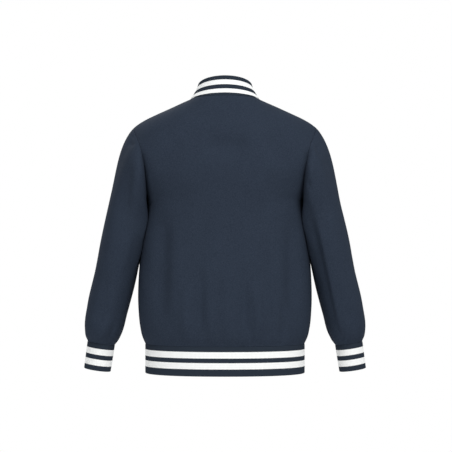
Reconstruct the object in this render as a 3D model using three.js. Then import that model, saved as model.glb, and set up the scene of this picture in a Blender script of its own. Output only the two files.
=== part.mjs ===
// A varsity jacket, filled out as it is worn and snapped shut, with its arms hanging. Millimetres, +Z up.
// The front faces -Y and the wearer's left is +X. The origin is the middle of the neck opening, halfway
// in height between the nape seam and the points where the shoulder seams meet it. Every panel is a
// thin wall about a grid of points: a grid has rows of points that run from one edge to the other, and
// columns that run from its lowest row to its highest.
import * as THREE from 'three';

// Walls and seams.
const FELT = 2;
const RIB = 3;
const SEAM_GAP = 0.3;
const SIDE_GAP = 0.5;
const RIB_GAP = 1.8;
const SHOULDER_GAP = 0.8;

// Neckline, shoulder and armhole.
const NECK = { half: 87, nape: 75, napeZ: 2.5, side: -8, sideZ: -2.4, throat: -62, throatZ: -82 };
const SHOULDER = { reach: 149, slope: 0.44, roll: 9.5, rollPower: 8 };

// Hem band and its seam to the panels.
const RIB_SEAM_Z = -629;
const HEM_Z = -703.5;
const SQUARE = 2.25;

// Share of a panel's width past which its columns turn into the armhole at the underarm.
const UNDERARM_TURN = 0.7;

// The left front laps over the right one.
const LAP_HALF = 12.5;
const LAP_FULL = 30;
const LAP_END = 75;
const LAP_GAP = 0.5;

// Body sections under the armholes: half width, and depth behind and before the side seam.
const BODY_ROWS = [
  { z: -629, half: 203, back: 124, front: 128 },
  { z: -612, half: 211, back: 132, front: 137 },
  { z: -585, half: 217, back: 137, front: 143 },
  { z: -540, half: 221, back: 138, front: 146 },
  { z: -450, half: 220, back: 135, front: 148 },
  { z: -360, half: 211, back: 131, front: 146 },
  { z: -268, half: 199, back: 133, front: 142 },
];

// Rows over the underarm: height and depth at the centre line, then the point where they meet the armhole.
const BACK_YOKE = [
  { z: -240, depth: 135, edgeX: 198, edgeY: 44, edgeZ: -250 },
  { z: -197, depth: 137, edgeX: 200, edgeY: 78, edgeZ: -212 },
  { z: -152, depth: 133, edgeX: 205, edgeY: 92, edgeZ: -165 },
  { z: -103, depth: 124, edgeX: 213, edgeY: 76, edgeZ: -130 },
  { z: -52, depth: 104, edgeX: 225, edgeY: 40, edgeZ: -100 },
];
const FRONT_YOKE = [
  { z: -247, depth: 142, edgeX: 198, edgeY: 42, edgeZ: -250 },
  { z: -215, depth: 140, edgeX: 198, edgeY: 74, edgeZ: -212 },
  { z: -181, depth: 132, edgeX: 202, edgeY: 84, edgeZ: -165 },
  { z: -148, depth: 117, edgeX: 212, edgeY: 70, edgeZ: -130 },
  { z: -116, depth: 94, edgeX: 224, edgeY: 42, edgeZ: -100 },
];

// Directions in which the panels reach their top edge, for the half with y of the sign of its face.
const TOP_DIRECTION = {
  back: { centre: [0, -0.6, 0.8], neck: [-0.15, -0.99, 0.02], tip: [0.1, -0.99, 0.1] },
  front: { centre: [0, 0.7, 0.71], neck: [-0.15, 0.99, 0.02], tip: [0.1, 0.99, 0.1] },
};

// Sleeve sections, each square to the arm: centre, tilt off level, and half sizes outward, toward the
// body and deep.
const SLEEVE_ROWS = [
  { x: 249, y: -2, z: -298, tilt: 20, outer: 52.5, inner: 74, deep: 80 },
  { x: 265.5, y: -4, z: -372, tilt: 14, outer: 53.5, inner: 64, deep: 78 },
  { x: 281, y: -8, z: -448, tilt: 12.5, outer: 52.5, inner: 53.5, deep: 73 },
  { x: 303, y: -15, z: -541, tilt: 12, outer: 51.5, inner: 51.5, deep: 66 },
  { x: 315, y: -19, z: -600, tilt: 10, outer: 47, inner: 47, deep: 58 },
  { x: 318.3, y: -21, z: -618, tilt: 9, outer: 41, inner: 41, deep: 48 },
  { x: 319.6, y: -22, z: -629, tilt: 8.5, outer: 34, inner: 34, deep: 38 },
];
const CAP_PUFF = { top: 0.27, behind: 0.6, along: 0.75, tuck: -0.2 };
const CAP_TURNS = { topTo: 20, behindFrom: 70, tuckFrom: 95, tuckTo: 175 };
const RIB_PUFF = { outward: 0.5, along: 0.85 };
const MOST_SEAM_TURN = 1.8;
const BODY_CLEARANCE = 3.8;

// Cuff: the last ring of the sleeve, carried on down the arm.
const CUFF = { length: 70, tilt: 8.5, forward: 3, taper: 0.97 };

// Collar: length up from the neckline seam, and how far it leans in at the seam and at its top edge.
const COLLAR = {
  nape: { length: 55, leanLow: 30, leanHigh: 6 },
  side: { length: 41, leanLow: 42, leanHigh: 16 },
  throat: { length: 35, leanLow: 30, leanHigh: 6 },
  endRound: 22,
  endShare: 0.45,
  endColumns: [0, 0.08, 0.25, 0.55],
  endGap: 4,
  shoulderLift: 4.4,
};

// Snaps down the middle of the front.
const SNAPS = {
  count: 7,
  first: -103,
  last: -665,
  capRadius: 7.5,
  capRise: 2.4,
  backRadius: 5.5,
  backRise: 1.6,
  seat: 0.6,
};

// How finely the grids are cut.
const HALF_COLUMNS = 12;
const NECK_COLUMNS = 5;
const LOWER_STEPS = [1, 1, 1, 2, 2, 2];
const YOKE_STEPS = 2;
const TOP_STEPS = 3;
const SLEEVE_STEPS = [4, 2, 1, 2, 1, 1, 1];
const CUFF_STEPS = 2;
const COLLAR_STEPS = 3;
const ARC_SAMPLES = 96;
const SNAP_SIDES = 14;

const COLOURS = {
  felt: { color: 0x30383f, roughness: 0.95, metalness: 0 },
  rib: { color: 0x2b343a, roughness: 0.9, metalness: 0 },
  snap: { color: 0x2a3038, roughness: 0.35, metalness: 0.6 },
};

const radians = THREE.MathUtils.degToRad;
const mix = THREE.MathUtils.lerp;
const UP = new THREE.Vector3(0, 0, 1);

function vector(x, y, z) {
  return new THREE.Vector3(x, y, z);
}

// ---------------------------------------------------------------- curves

// The point at share s, by length, of a curve that make(t) draws for t from 0 to 1.
function evenCurve(make) {
  const points = [];
  for (let i = 0; i <= ARC_SAMPLES; i += 1) points.push(make(i / ARC_SAMPLES));
  const along = [0];
  for (let i = 1; i < points.length; i += 1) {
    along.push(along[i - 1] + points[i].distanceTo(points[i - 1]));
  }
  return (share) => {
    const target = share * along[ARC_SAMPLES];
    let i = 1;
    while (i < ARC_SAMPLES && along[i] < target) i += 1;
    const t = (target - along[i - 1]) / (along[i] - along[i - 1]);
    return points[i - 1].clone().lerp(points[i], t);
  };
}

// Slopes for a smooth curve through knots that lie unevenly apart, with its end directions given.
function knotSlopes(knots, startDirection, endDirection) {
  const last = knots.length - 1;
  return knots.map((knot, i) => {
    if (i === 0) return startDirection.clone().normalize();
    if (i === last) return endDirection.clone().normalize();
    const before = knot.clone().sub(knots[i - 1]);
    const after = knots[i + 1].clone().sub(knot);
    const lengthBefore = before.length();
    const lengthAfter = after.length();
    before.multiplyScalar(lengthAfter / lengthBefore);
    after.multiplyScalar(lengthBefore / lengthAfter);
    return before.add(after).divideScalar(lengthBefore + lengthAfter);
  });
}

function hermite(from, to, slopeFrom, slopeTo, t) {
  const chord = from.distanceTo(to);
  return from.clone().multiplyScalar((1 + 2 * t) * (1 - t) ** 2)
    .addScaledVector(slopeFrom, chord * t * (1 - t) ** 2)
    .addScaledVector(to, t * t * (3 - 2 * t))
    .addScaledVector(slopeTo, chord * t * t * (t - 1));
}

// A column: the knots joined smoothly, with steps[i] pieces between knot i and knot i + 1.
// At the bend's knot, if there is one, the column turns toward the bend's direction by its share.
function columnThrough(knots, startDirection, endDirection, steps, bend) {
  const arriving = knotSlopes(knots, startDirection, endDirection);
  const leaving = arriving.map((slope) => slope.clone());
  if (bend) {
    const straight = knots[bend.knot].clone().sub(knots[bend.knot - 1]).normalize();
    arriving[bend.knot].lerp(straight, bend.share);
    leaving[bend.knot].lerp(bend.direction, bend.share);
  }
  const column = [knots[0].clone()];
  steps.forEach((count, i) => {
    for (let k = 1; k <= count; k += 1) {
      column.push(hermite(knots[i], knots[i + 1], leaving[i], arriving[i + 1], k / count));
    }
  });
  return column;
}

// ---------------------------------------------------------------- cloth

// Difference of neighbours along a line of points, of second order at its two ends.
function lineDifference(line, i, closed) {
  const n = line.length;
  if (closed) return line[(i + 1) % n].clone().sub(line[(i + n - 1) % n]);
  if (n < 3) return line[1].clone().sub(line[0]);
  if (i > 0 && i < n - 1) return line[i + 1].clone().sub(line[i - 1]);
  const step = i === 0 ? 1 : -1;
  return line[i].clone().multiplyScalar(-3)
    .addScaledVector(line[i + step], 4)
    .sub(line[i + 2 * step])
    .multiplyScalar(step);
}

function gridNormals(grid, closed) {
  return grid.map((row, r) => row.map((point, c) => {
    const across = lineDifference(row, c, closed);
    const up = lineDifference(grid.map((other) => other[c]), r, false);
    return across.cross(up).normalize();
  }));
}

// A wall of even thickness about a grid. Closed grids join their last column to their first.
function clothWall(grid, thickness, closed) {
  const rows = grid.length;
  const columns = grid[0].length;
  const normals = gridNormals(grid, closed);
  const positions = [];
  for (const side of [0.5, -0.5]) {
    grid.forEach((row, r) => row.forEach((point, c) => {
      const moved = point.clone().addScaledVector(normals[r][c], side * thickness);
      positions.push(moved.x, moved.y, moved.z);
    }));
  }
  const layer = rows * columns;
  const at = (r, c, inner) => (inner ? layer : 0) + r * columns + (c % columns);
  const index = [];
  const quad = (a, b, c, d) => index.push(a, b, c, a, c, d);
  const spans = closed ? columns : columns - 1;
  const top = rows - 1;
  for (let r = 0; r < top; r += 1) {
    for (let c = 0; c < spans; c += 1) {
      quad(at(r, c, false), at(r, c + 1, false), at(r + 1, c + 1, false), at(r + 1, c, false));
      quad(at(r, c, true), at(r + 1, c, true), at(r + 1, c + 1, true), at(r, c + 1, true));
    }
  }
  for (let c = 0; c < spans; c += 1) {
    quad(at(0, c, true), at(0, c + 1, true), at(0, c + 1, false), at(0, c, false));
    quad(at(top, c, false), at(top, c + 1, false), at(top, c + 1, true), at(top, c, true));
  }
  if (!closed) {
    const end = columns - 1;
    for (let r = 0; r < top; r += 1) {
      quad(at(r, 0, true), at(r, 0, false), at(r + 1, 0, false), at(r + 1, 0, true));
      quad(at(r, end, false), at(r, end, true), at(r + 1, end, true), at(r + 1, end, false));
    }
  }
  const geometry = new THREE.BufferGeometry();
  geometry.setAttribute('position', new THREE.Float32BufferAttribute(positions, 3));
  geometry.setIndex(facingOut(positions, index));
  geometry.computeVertexNormals();
  return geometry;
}

// Turns every triangle round if together they enclose a negative volume.
function facingOut(positions, index) {
  let volume = 0;
  const corner = (k) => new THREE.Vector3().fromArray(positions, 3 * index[k]);
  for (let k = 0; k < index.length; k += 3) {
    volume += corner(k).dot(corner(k + 1).cross(corner(k + 2)));
  }
  if (volume > 0) return index;
  const turned = [];
  for (let k = 0; k < index.length; k += 3) turned.push(index[k], index[k + 2], index[k + 1]);
  return turned;
}

function transpose(columns) {
  return columns[0].map((_, r) => columns.map((column) => column[r]));
}

function mirrored(grid) {
  return grid.map((row) => row.map((point) => vector(-point.x, point.y, point.z)));
}

// ---------------------------------------------------------------- body

// Part of a rounded-square outline, from (0, depth) outward to (edgeX, edgeY), with z easing from one
// height to the other.
function outlineRow({ z, depth, edgeX, edgeY, edgeZ }, facing) {
  const power = 2 / SQUARE;
  const endAngle = Math.acos((edgeY / depth) ** (1 / power));
  const reach = edgeX / Math.sin(endAngle) ** power;
  return evenCurve((t) => {
    const angle = t * endAngle;
    const x = reach * Math.sin(angle) ** power;
    const y = depth * Math.max(Math.cos(angle), 0) ** power;
    return vector(x, facing * y, mix(z, edgeZ, (x / edgeX) ** 2));
  });
}

function bodyRowSpec(row, face) {
  return { z: row.z, depth: row[face], edgeX: row.half, edgeY: SIDE_GAP / 2, edgeZ: row.z };
}

// The neckline, from the nape or the throat at share 0 round to the shoulder seam at share 1.
function necklinePoint(face, share) {
  const angle = share * Math.PI / 2;
  const x = NECK.half * Math.sin(angle);
  const [endY, endZ] = face === 'back' ? [NECK.nape, NECK.napeZ] : [NECK.throat, NECK.throatZ];
  return vector(x, mix(NECK.side, endY, Math.cos(angle)), mix(NECK.sideZ, endZ, Math.cos(angle)));
}

function shoulderPoint(face, share) {
  const across = share * SHOULDER.reach;
  const z = NECK.sideZ - SHOULDER.slope * across - SHOULDER.roll * share ** SHOULDER.rollPower;
  const side = face === 'back' ? SHOULDER_GAP / 2 : -SHOULDER_GAP / 2;
  return vector(NECK.half + across, NECK.side + side, z);
}

function topEdge(face) {
  const neck = evenCurve((t) => necklinePoint(face, t));
  const shoulder = evenCurve((t) => shoulderPoint(face, t));
  const corner = NECK_COLUMNS / HALF_COLUMNS;
  return (share) => (share < corner ? neck(share / corner) : shoulder((share - corner) / (1 - corner)));
}

function topDirection(face, share) {
  const { centre, neck, tip } = TOP_DIRECTION[face];
  const corner = NECK_COLUMNS / HALF_COLUMNS;
  const from = vector(...(share < corner ? centre : neck));
  const to = vector(...(share < corner ? neck : tip));
  const t = share < corner ? share / corner : (share - corner) / (1 - corner);
  return from.lerp(to, t);
}

// One column of a panel for x >= 0, from the rib seam up to the neck or shoulder.
function bodyColumn(face, share) {
  const facing = face === 'back' ? 1 : -1;
  const yoke = face === 'back' ? BACK_YOKE : FRONT_YOKE;
  const specs = [...BODY_ROWS.map((row) => bodyRowSpec(row, face)), ...yoke];
  const knots = specs.map((spec) => outlineRow(spec, facing)(share));
  knots.push(topEdge(face)(share));
  const outward = vector(knots[0].x, knots[0].y, 0).normalize();
  const puff = outward.multiplyScalar(RIB_PUFF.outward).addScaledVector(UP, RIB_PUFF.along);
  const steps = [...LOWER_STEPS, ...yoke.map(() => YOKE_STEPS), TOP_STEPS];
  const bend = {
    knot: BODY_ROWS.length - 1,
    direction: vector(0, facing, 0),
    share: THREE.MathUtils.smoothstep(share, UNDERARM_TURN, 1),
  };
  const column = columnThrough(knots, puff, topDirection(face, share), steps, bend);
  column[0].z += RIB_GAP / 2;
  return column;
}

function backGrid() {
  const half = [];
  for (let c = 0; c <= HALF_COLUMNS; c += 1) half.push(bodyColumn('back', c / HALF_COLUMNS));
  const other = half.slice(1).reverse().map((column) => column.map((p) => vector(-p.x, p.y, p.z)));
  return transpose([...other, ...half]);
}

// How far the fronts and their rib part to make room for each other where they lap.
function lapShift(x, thickness) {
  const full = (thickness + LAP_GAP) / 2;
  return full * (1 - THREE.MathUtils.smoothstep(Math.abs(x), LAP_FULL, LAP_END));
}

// The way out of the front, at a row of the middle line.
function middleNormal(line, r) {
  const along = lineDifference(line, r, false);
  return vector(0, -along.z, along.y).normalize();
}

// Columns from the lap's edge, over the centre line, to the side. It is made for x >= 0, and layer is
// 1 for the front that lies outside and -1 for the one inside.
function lapColumns(columns, layer, thickness) {
  const inner = columns[0].map((p, r) => {
    const next = columns[1][r];
    const t = (LAP_HALF / next.x) ** 2;
    return vector(LAP_HALF, mix(p.y, next.y, t), mix(p.z, next.z, t));
  });
  const edge = inner.map((p) => vector(-p.x, p.y, p.z));
  return [edge, columns[0], inner, ...columns.slice(1)].map((column) => column.map((p, r) => (
    p.clone().addScaledVector(middleNormal(columns[0], r), layer * lapShift(p.x, thickness))
  )));
}

function frontGrid(layer) {
  const columns = [];
  for (let c = 0; c <= HALF_COLUMNS; c += 1) columns.push(bodyColumn('front', c / HALF_COLUMNS));
  return transpose(lapColumns(columns, layer, FELT));
}

// ---------------------------------------------------------------- hem band

// The band is one strip: it starts at the left front's edge, goes round the back and ends under it.
function hemColumns(face) {
  const facing = face === 'back' ? 1 : -1;
  const spec = bodyRowSpec(BODY_ROWS[0], face);
  const curve = outlineRow({ ...spec, edgeY: 0 }, facing);
  const columns = [];
  for (let c = 0; c <= HALF_COLUMNS; c += 1) {
    const p = curve(c / HALF_COLUMNS);
    const top = vector(p.x, p.y, RIB_SEAM_Z - RIB_GAP / 2);
    const bottom = vector(p.x, p.y, HEM_Z);
    columns.push([bottom, bottom.clone().lerp(top, 0.5), top]);
  }
  return columns;
}

function hemGrid() {
  const leftFront = lapColumns(hemColumns('front'), 1, RIB);
  const rightFront = lapColumns(hemColumns('front'), -1, RIB);
  const back = hemColumns('back');
  const flip = (column) => column.map((p) => vector(-p.x, p.y, p.z));
  return transpose([
    ...leftFront,
    ...back.slice(0, -1).reverse(),
    ...back.slice(1).map(flip),
    ...rightFront.slice(0, -1).reverse().map(flip),
  ]);
}

// ---------------------------------------------------------------- sleeve

// Half size of the body at height z, for keeping the sleeves clear of it.
function bodyAt(z, key) {
  const last = BODY_ROWS.length - 1;
  let i = 0;
  while (i < last - 1 && BODY_ROWS[i + 1].z < z) i += 1;
  const t = THREE.MathUtils.clamp((z - BODY_ROWS[i].z) / (BODY_ROWS[i + 1].z - BODY_ROWS[i].z), 0, 1);
  return mix(BODY_ROWS[i][key], BODY_ROWS[i + 1][key], t);
}

// Moves a point that is inside the body, or too near it, out to where the sleeve lies against it.
function clearOfBody(point) {
  const topRow = BODY_ROWS[BODY_ROWS.length - 1].z;
  if (point.z > topRow) return point;
  const half = bodyAt(point.z, 'half') + BODY_CLEARANCE;
  const depth = bodyAt(point.z, point.y > 0 ? 'back' : 'front') + BODY_CLEARANCE;
  const across = (Math.abs(point.x) / half) ** SQUARE;
  const through = (Math.abs(point.y) / depth) ** SQUARE;
  const level = (across + through) ** (1 / SQUARE);
  if (level >= 1) return point;
  return vector(point.x / level, point.y / level, point.z);
}

// Direction from the arm's middle to the sleeve at an angle: 0 is outside, 90 behind, 180 at the body.
function aroundArm(angle, tilt) {
  const lean = radians(tilt);
  return vector(Math.cos(angle) * Math.cos(lean), Math.sin(angle), Math.cos(angle) * Math.sin(lean));
}

function downArm(tilt, forward = 0) {
  return vector(Math.sin(radians(tilt)), -Math.sin(radians(forward)), -Math.cos(radians(tilt))).normalize();
}

function sleeveRingPoint(row, angle) {
  const lean = radians(row.tilt);
  const across = (Math.cos(angle) > 0 ? row.outer : row.inner) * Math.cos(angle);
  return clearOfBody(vector(
    row.x + across * Math.cos(lean),
    row.y + row.deep * Math.sin(angle),
    row.z + across * Math.sin(lean),
  ));
}

// Points of the armhole with the way out of the panel there, from the shoulder down to the underarm.
function armholeHalf(face, panelGrid) {
  const normals = gridNormals(panelGrid, false);
  const firstRow = LOWER_STEPS.reduce((sum, count) => sum + count, 0);
  const edge = panelGrid.slice(firstRow).map((row) => row[row.length - 1]).reverse();
  const edgeNormals = normals.slice(firstRow).map((row) => row[row.length - 1]).reverse();
  const lengths = [0];
  for (let i = 1; i < edge.length; i += 1) lengths.push(lengths[i - 1] + edge[i].distanceTo(edge[i - 1]));
  const total = lengths[edge.length - 1];
  const wayOut = (i) => edgeNormals[i].clone().cross(lineDifference(edge, i, false)).normalize();
  const sign = Math.sign(wayOut(Math.floor(edge.length / 2)).x);
  return edge.map((point, i) => {
    const turn = Math.PI * lengths[i] / total;
    const outward = wayOut(i).multiplyScalar(sign);
    return { point, outward, angle: face === 'back' ? turn : 2 * Math.PI - turn };
  });
}

function armholeRing(back, front) {
  const backHalf = armholeHalf('back', back);
  const frontHalf = armholeHalf('front', front);
  const last = backHalf.length - 1;
  const join = (a, b) => ({
    point: a.point.clone().lerp(b.point, 0.5),
    outward: a.outward.clone().add(b.outward).normalize(),
    angle: a.angle,
  });
  return [
    join(backHalf[0], frontHalf[0]),
    ...backHalf.slice(1, last),
    join(backHalf[last], frontHalf[last]),
    ...frontHalf.slice(1, last).reverse(),
  ];
}

// The way a sleeve leaves the armhole: it puffs out over the top and tucks in at the underarm.
function leaveDirection(angle) {
  const fromTop = THREE.MathUtils.radToDeg(Math.min(angle, 2 * Math.PI - angle));
  const behind = THREE.MathUtils.smoothstep(fromTop, CAP_TURNS.topTo, CAP_TURNS.behindFrom);
  const tuck = THREE.MathUtils.smoothstep(fromTop, CAP_TURNS.tuckFrom, CAP_TURNS.tuckTo);
  const outward = mix(mix(CAP_PUFF.top, CAP_PUFF.behind, behind), CAP_PUFF.tuck, tuck);
  const tilt = SLEEVE_ROWS[0].tilt;
  return aroundArm(angle, tilt).multiplyScalar(outward)
    .addScaledVector(downArm(tilt), CAP_PUFF.along)
    .normalize();
}

// Room for two walls whose middles meet at an angle.
function seamRoom(directionA, directionB) {
  const half = directionA.angleTo(directionB) / 2;
  return SEAM_GAP + FELT * Math.min(Math.tan(half), MOST_SEAM_TURN);
}

function sleeveColumn({ point, outward, angle }) {
  const leave = leaveDirection(angle);
  const way = outward.clone().add(leave).normalize();
  const start = point.clone().addScaledVector(way, seamRoom(outward, leave));
  const knots = [start, ...SLEEVE_ROWS.map((row) => sleeveRingPoint(row, angle))];
  const lastRow = SLEEVE_ROWS[SLEEVE_ROWS.length - 1];
  const gather = aroundArm(angle, lastRow.tilt).multiplyScalar(-RIB_PUFF.outward)
    .addScaledVector(downArm(lastRow.tilt), RIB_PUFF.along);
  const column = columnThrough(knots, leave, gather, SLEEVE_STEPS);
  return column.map((p, r) => (r === 0 ? p : clearOfBody(p)));
}

function sleeveGrid(ring) {
  return transpose(ring.map(sleeveColumn));
}

function cuffGrid(ring) {
  const last = SLEEVE_ROWS[SLEEVE_ROWS.length - 1];
  const down = downArm(CUFF.tilt, CUFF.forward);
  const centre = vector(last.x, last.y, last.z);
  const columns = ring.map(({ angle }) => {
    const top = sleeveRingPoint(last, angle);
    const column = [];
    for (let k = 0; k <= CUFF_STEPS; k += 1) {
      const share = k / CUFF_STEPS;
      const narrowed = centre.clone().lerp(top, mix(1, CUFF.taper, share));
      column.push(narrowed.addScaledVector(down, mix(RIB_GAP, CUFF.length, share)));
    }
    return column;
  });
  return transpose(columns);
}

// ---------------------------------------------------------------- collar

// Points along the neckline that the panels' top edges really have, from one front end to the other.
function neckPolyline() {
  const front = [];
  const back = [];
  for (let c = 0; c <= NECK_COLUMNS; c += 1) {
    front.push(topEdge('front')(c / HALF_COLUMNS));
    back.push(topEdge('back')(c / HALF_COLUMNS));
  }
  const corner = front[NECK_COLUMNS].clone().lerp(back[NECK_COLUMNS], 0.5);
  const half = [...front.slice(0, -1), corner, ...back.slice(0, -1).reverse()];
  const flip = (p) => vector(-p.x, p.y, p.z);
  return [...half, ...half.slice(0, -1).reverse().map(flip)];
}

// Length and leans of the collar at a point of the neckline.
function collarShape(point, fromEnd) {
  const behind = THREE.MathUtils.clamp((point.y - NECK.side) / (NECK.nape - NECK.side), 0, 1);
  const before = THREE.MathUtils.clamp((NECK.side - point.y) / (NECK.side - NECK.throat), 0, 1);
  const cut = 1 - Math.min(fromEnd / COLLAR.endRound, 1);
  const roundEnd = mix(COLLAR.endShare, 1, Math.sqrt(1 - cut * cut));
  const between = (key) => mix(mix(COLLAR.side[key], COLLAR.nape[key], behind), COLLAR.throat[key], before);
  return { length: between('length') * roundEnd, leanLow: between('leanLow'), leanHigh: between('leanHigh') };
}

// One column of the collar, up from the seam and curling in toward the neck.
function collarColumn(point, fromEnd) {
  const centre = vector(0, (NECK.nape + NECK.throat) / 2, point.z);
  const inward = centre.sub(point).setZ(0).normalize();
  const shape = collarShape(point, fromEnd);
  const lift = mix(RIB_GAP, COLLAR.shoulderLift, (point.x / NECK.half) ** 2);
  const step = shape.length / COLLAR_STEPS;
  const column = [point.clone().addScaledVector(UP, lift)];
  for (let k = 0; k < COLLAR_STEPS; k += 1) {
    const lean = radians(mix(shape.leanLow, shape.leanHigh, (k + 0.5) / COLLAR_STEPS));
    const next = column[k].clone()
      .addScaledVector(inward, step * Math.sin(lean))
      .addScaledVector(UP, step * Math.cos(lean));
    column.push(next);
  }
  return column;
}

function collarGrid() {
  const line = neckPolyline();
  const lengths = [0];
  for (let i = 1; i < line.length; i += 1) lengths.push(lengths[i - 1] + line[i].distanceTo(line[i - 1]));
  const total = lengths[line.length - 1];
  const start = COLLAR.endGap / 2;
  const extra = COLLAR.endColumns.map((share) => start + share * COLLAR.endRound);
  const last = extra[extra.length - 1];
  const inside = lengths.filter((length) => length > last && length < total - last);
  const places = [...extra, ...inside, ...extra.map((length) => total - length).reverse()];
  const columns = places.map((place) => {
    let i = 1;
    while (i < line.length - 1 && lengths[i] < place) i += 1;
    const t = (place - lengths[i - 1]) / (lengths[i] - lengths[i - 1]);
    const point = line[i - 1].clone().lerp(line[i], t);
    return collarColumn(point, Math.min(place, total - place) - start);
  });
  return transpose(columns);
}

// ---------------------------------------------------------------- snaps

// Where the middle line of a front lies at height z, with the way out of it.
function frontPlace(grid, z) {
  const line = grid.map((row) => row[1]);
  let r = 1;
  while (r < line.length - 1 && line[r].z < z) r += 1;
  const along = line[r].clone().sub(line[r - 1]);
  const point = line[r - 1].clone().addScaledVector(along, (z - line[r - 1].z) / along.z);
  const outward = vector(0, -along.z, along.y).normalize();
  return { point, outward };
}

// A domed disc: its profile is shares of its radius and of its rise.
function snapGeometry(radius, rise) {
  const profile = [[0, 0], [1, 0], [1, 0.4], [0.72, 0.9], [0, 1]]
    .map(([out, up]) => new THREE.Vector2(out * radius, up * rise));
  return new THREE.LatheGeometry(profile, SNAP_SIDES);
}

function snapMesh(name, place, side, half, radius, rise) {
  const mesh = new THREE.Mesh(snapGeometry(radius, rise), new THREE.MeshStandardMaterial(COLOURS.snap));
  const facing = place.outward.clone().multiplyScalar(side);
  mesh.name = name;
  mesh.position.copy(place.point).addScaledVector(facing, half + SNAPS.seat);
  mesh.quaternion.setFromUnitVectors(vector(0, 1, 0), facing);
  return mesh;
}

// ---------------------------------------------------------------- the jacket

function clothMesh(name, grid, thickness, closed, finish) {
  const mesh = new THREE.Mesh(clothWall(grid, thickness, closed), new THREE.MeshStandardMaterial(finish));
  mesh.name = name;
  return mesh;
}

function buildBody(jacket, back, leftFront, rightFront) {
  jacket.add(clothMesh('back', back, FELT, false, COLOURS.felt));
  jacket.add(clothMesh('front_left', leftFront, FELT, false, COLOURS.felt));
  jacket.add(clothMesh('front_right', mirrored(rightFront), FELT, false, COLOURS.felt));
  jacket.add(clothMesh('hem_band', hemGrid(), RIB, false, COLOURS.rib));
  jacket.add(clothMesh('collar', collarGrid(), RIB, false, COLOURS.rib));
}

function buildArms(jacket, back, front) {
  const ring = armholeRing(back, front);
  const sleeve = sleeveGrid(ring);
  const cuff = cuffGrid(ring);
  jacket.add(clothMesh('sleeve_left', sleeve, FELT, true, COLOURS.felt));
  jacket.add(clothMesh('sleeve_right', mirrored(sleeve), FELT, true, COLOURS.felt));
  jacket.add(clothMesh('cuff_left', cuff, RIB, true, COLOURS.rib));
  jacket.add(clothMesh('cuff_right', mirrored(cuff), RIB, true, COLOURS.rib));
}

function buildSnaps(jacket, leftFront, rightFront, hem) {
  for (let i = 0; i < SNAPS.count; i += 1) {
    const z = mix(SNAPS.first, SNAPS.last, i / (SNAPS.count - 1));
    const onRib = z < RIB_SEAM_Z;
    const wall = onRib ? RIB : FELT;
    const outside = onRib ? hem.outside(z) : frontPlace(leftFront, z);
    const inside = onRib ? hem.inside(z) : frontPlace(rightFront, z);
    const cap = snapMesh(`snap_cap_${i + 1}`, outside, 1, wall / 2, SNAPS.capRadius, SNAPS.capRise);
    const back = snapMesh(`snap_back_${i + 1}`, inside, -1, wall / 2, SNAPS.backRadius, SNAPS.backRise);
    jacket.add(cap, back);
  }
}

// The band's two lapped ends at the centre line, for the lowest snap.
function hemPlaces() {
  const depth = -BODY_ROWS[0].front;
  const shift = lapShift(0, RIB);
  return {
    outside: (z) => ({ point: vector(0, depth - shift, z), outward: vector(0, -1, 0) }),
    inside: (z) => ({ point: vector(0, depth + shift, z), outward: vector(0, -1, 0) }),
  };
}

function buildJacket() {
  const jacket = new THREE.Group();
  const back = backGrid();
  const leftFront = frontGrid(1);
  const rightFront = frontGrid(-1);
  buildBody(jacket, back, leftFront, rightFront);
  buildArms(jacket, back, leftFront);
  buildSnaps(jacket, leftFront, rightFront, hemPlaces());
  return jacket;
}

export default buildJacket();
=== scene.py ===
import math
from collections import namedtuple

import bpy
import numpy as np
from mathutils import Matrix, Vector


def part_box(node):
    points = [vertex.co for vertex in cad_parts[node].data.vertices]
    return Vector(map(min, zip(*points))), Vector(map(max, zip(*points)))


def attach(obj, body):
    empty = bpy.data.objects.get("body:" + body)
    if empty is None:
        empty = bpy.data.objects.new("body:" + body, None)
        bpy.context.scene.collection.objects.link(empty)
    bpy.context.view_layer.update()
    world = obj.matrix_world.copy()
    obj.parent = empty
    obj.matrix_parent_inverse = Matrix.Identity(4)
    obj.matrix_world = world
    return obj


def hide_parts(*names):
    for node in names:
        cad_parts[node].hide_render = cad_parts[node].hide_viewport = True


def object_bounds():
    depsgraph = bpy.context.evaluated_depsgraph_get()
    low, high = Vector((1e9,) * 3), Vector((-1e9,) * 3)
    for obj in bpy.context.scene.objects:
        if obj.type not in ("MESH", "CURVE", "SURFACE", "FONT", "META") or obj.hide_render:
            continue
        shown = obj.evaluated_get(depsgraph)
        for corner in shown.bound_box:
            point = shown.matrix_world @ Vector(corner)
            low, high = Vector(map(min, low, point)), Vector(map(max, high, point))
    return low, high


# A varsity jacket, filled out as worn. Shapes are worked out in millimetres as grids of points on the
# middle of the cloth: rows run round the body or the arm, columns run along it. The front faces -Y, the
# wearer's left is +X, and the origin is the middle of the neck opening, halfway in height between the nape
# seam and the neck ends of the shoulder seams.

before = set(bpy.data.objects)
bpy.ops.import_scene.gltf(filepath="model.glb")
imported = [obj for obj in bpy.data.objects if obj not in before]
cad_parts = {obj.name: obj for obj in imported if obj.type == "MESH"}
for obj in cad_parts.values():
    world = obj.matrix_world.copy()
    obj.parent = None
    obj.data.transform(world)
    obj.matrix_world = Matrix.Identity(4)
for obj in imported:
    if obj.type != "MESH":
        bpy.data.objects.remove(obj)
cad_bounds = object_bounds()
MILLIMETRE = 0.001
UP = np.array([0, 0, 1])


def in_mm(node):
    """(lowest corner, highest corner) of a CAD node, in millimetres."""
    return [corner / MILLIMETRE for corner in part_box(node)]


# ---------------- sizes of the cut, in millimetres

FELT = 2.0
RIB = 3.0
SEAM = 0.4
HEM_Z = in_mm("hem_band")[0].z
RIB_SEAM_Z = in_mm("hem_band")[1].z + 0.9
FACING = {"back": 1, "front": -1}

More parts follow.
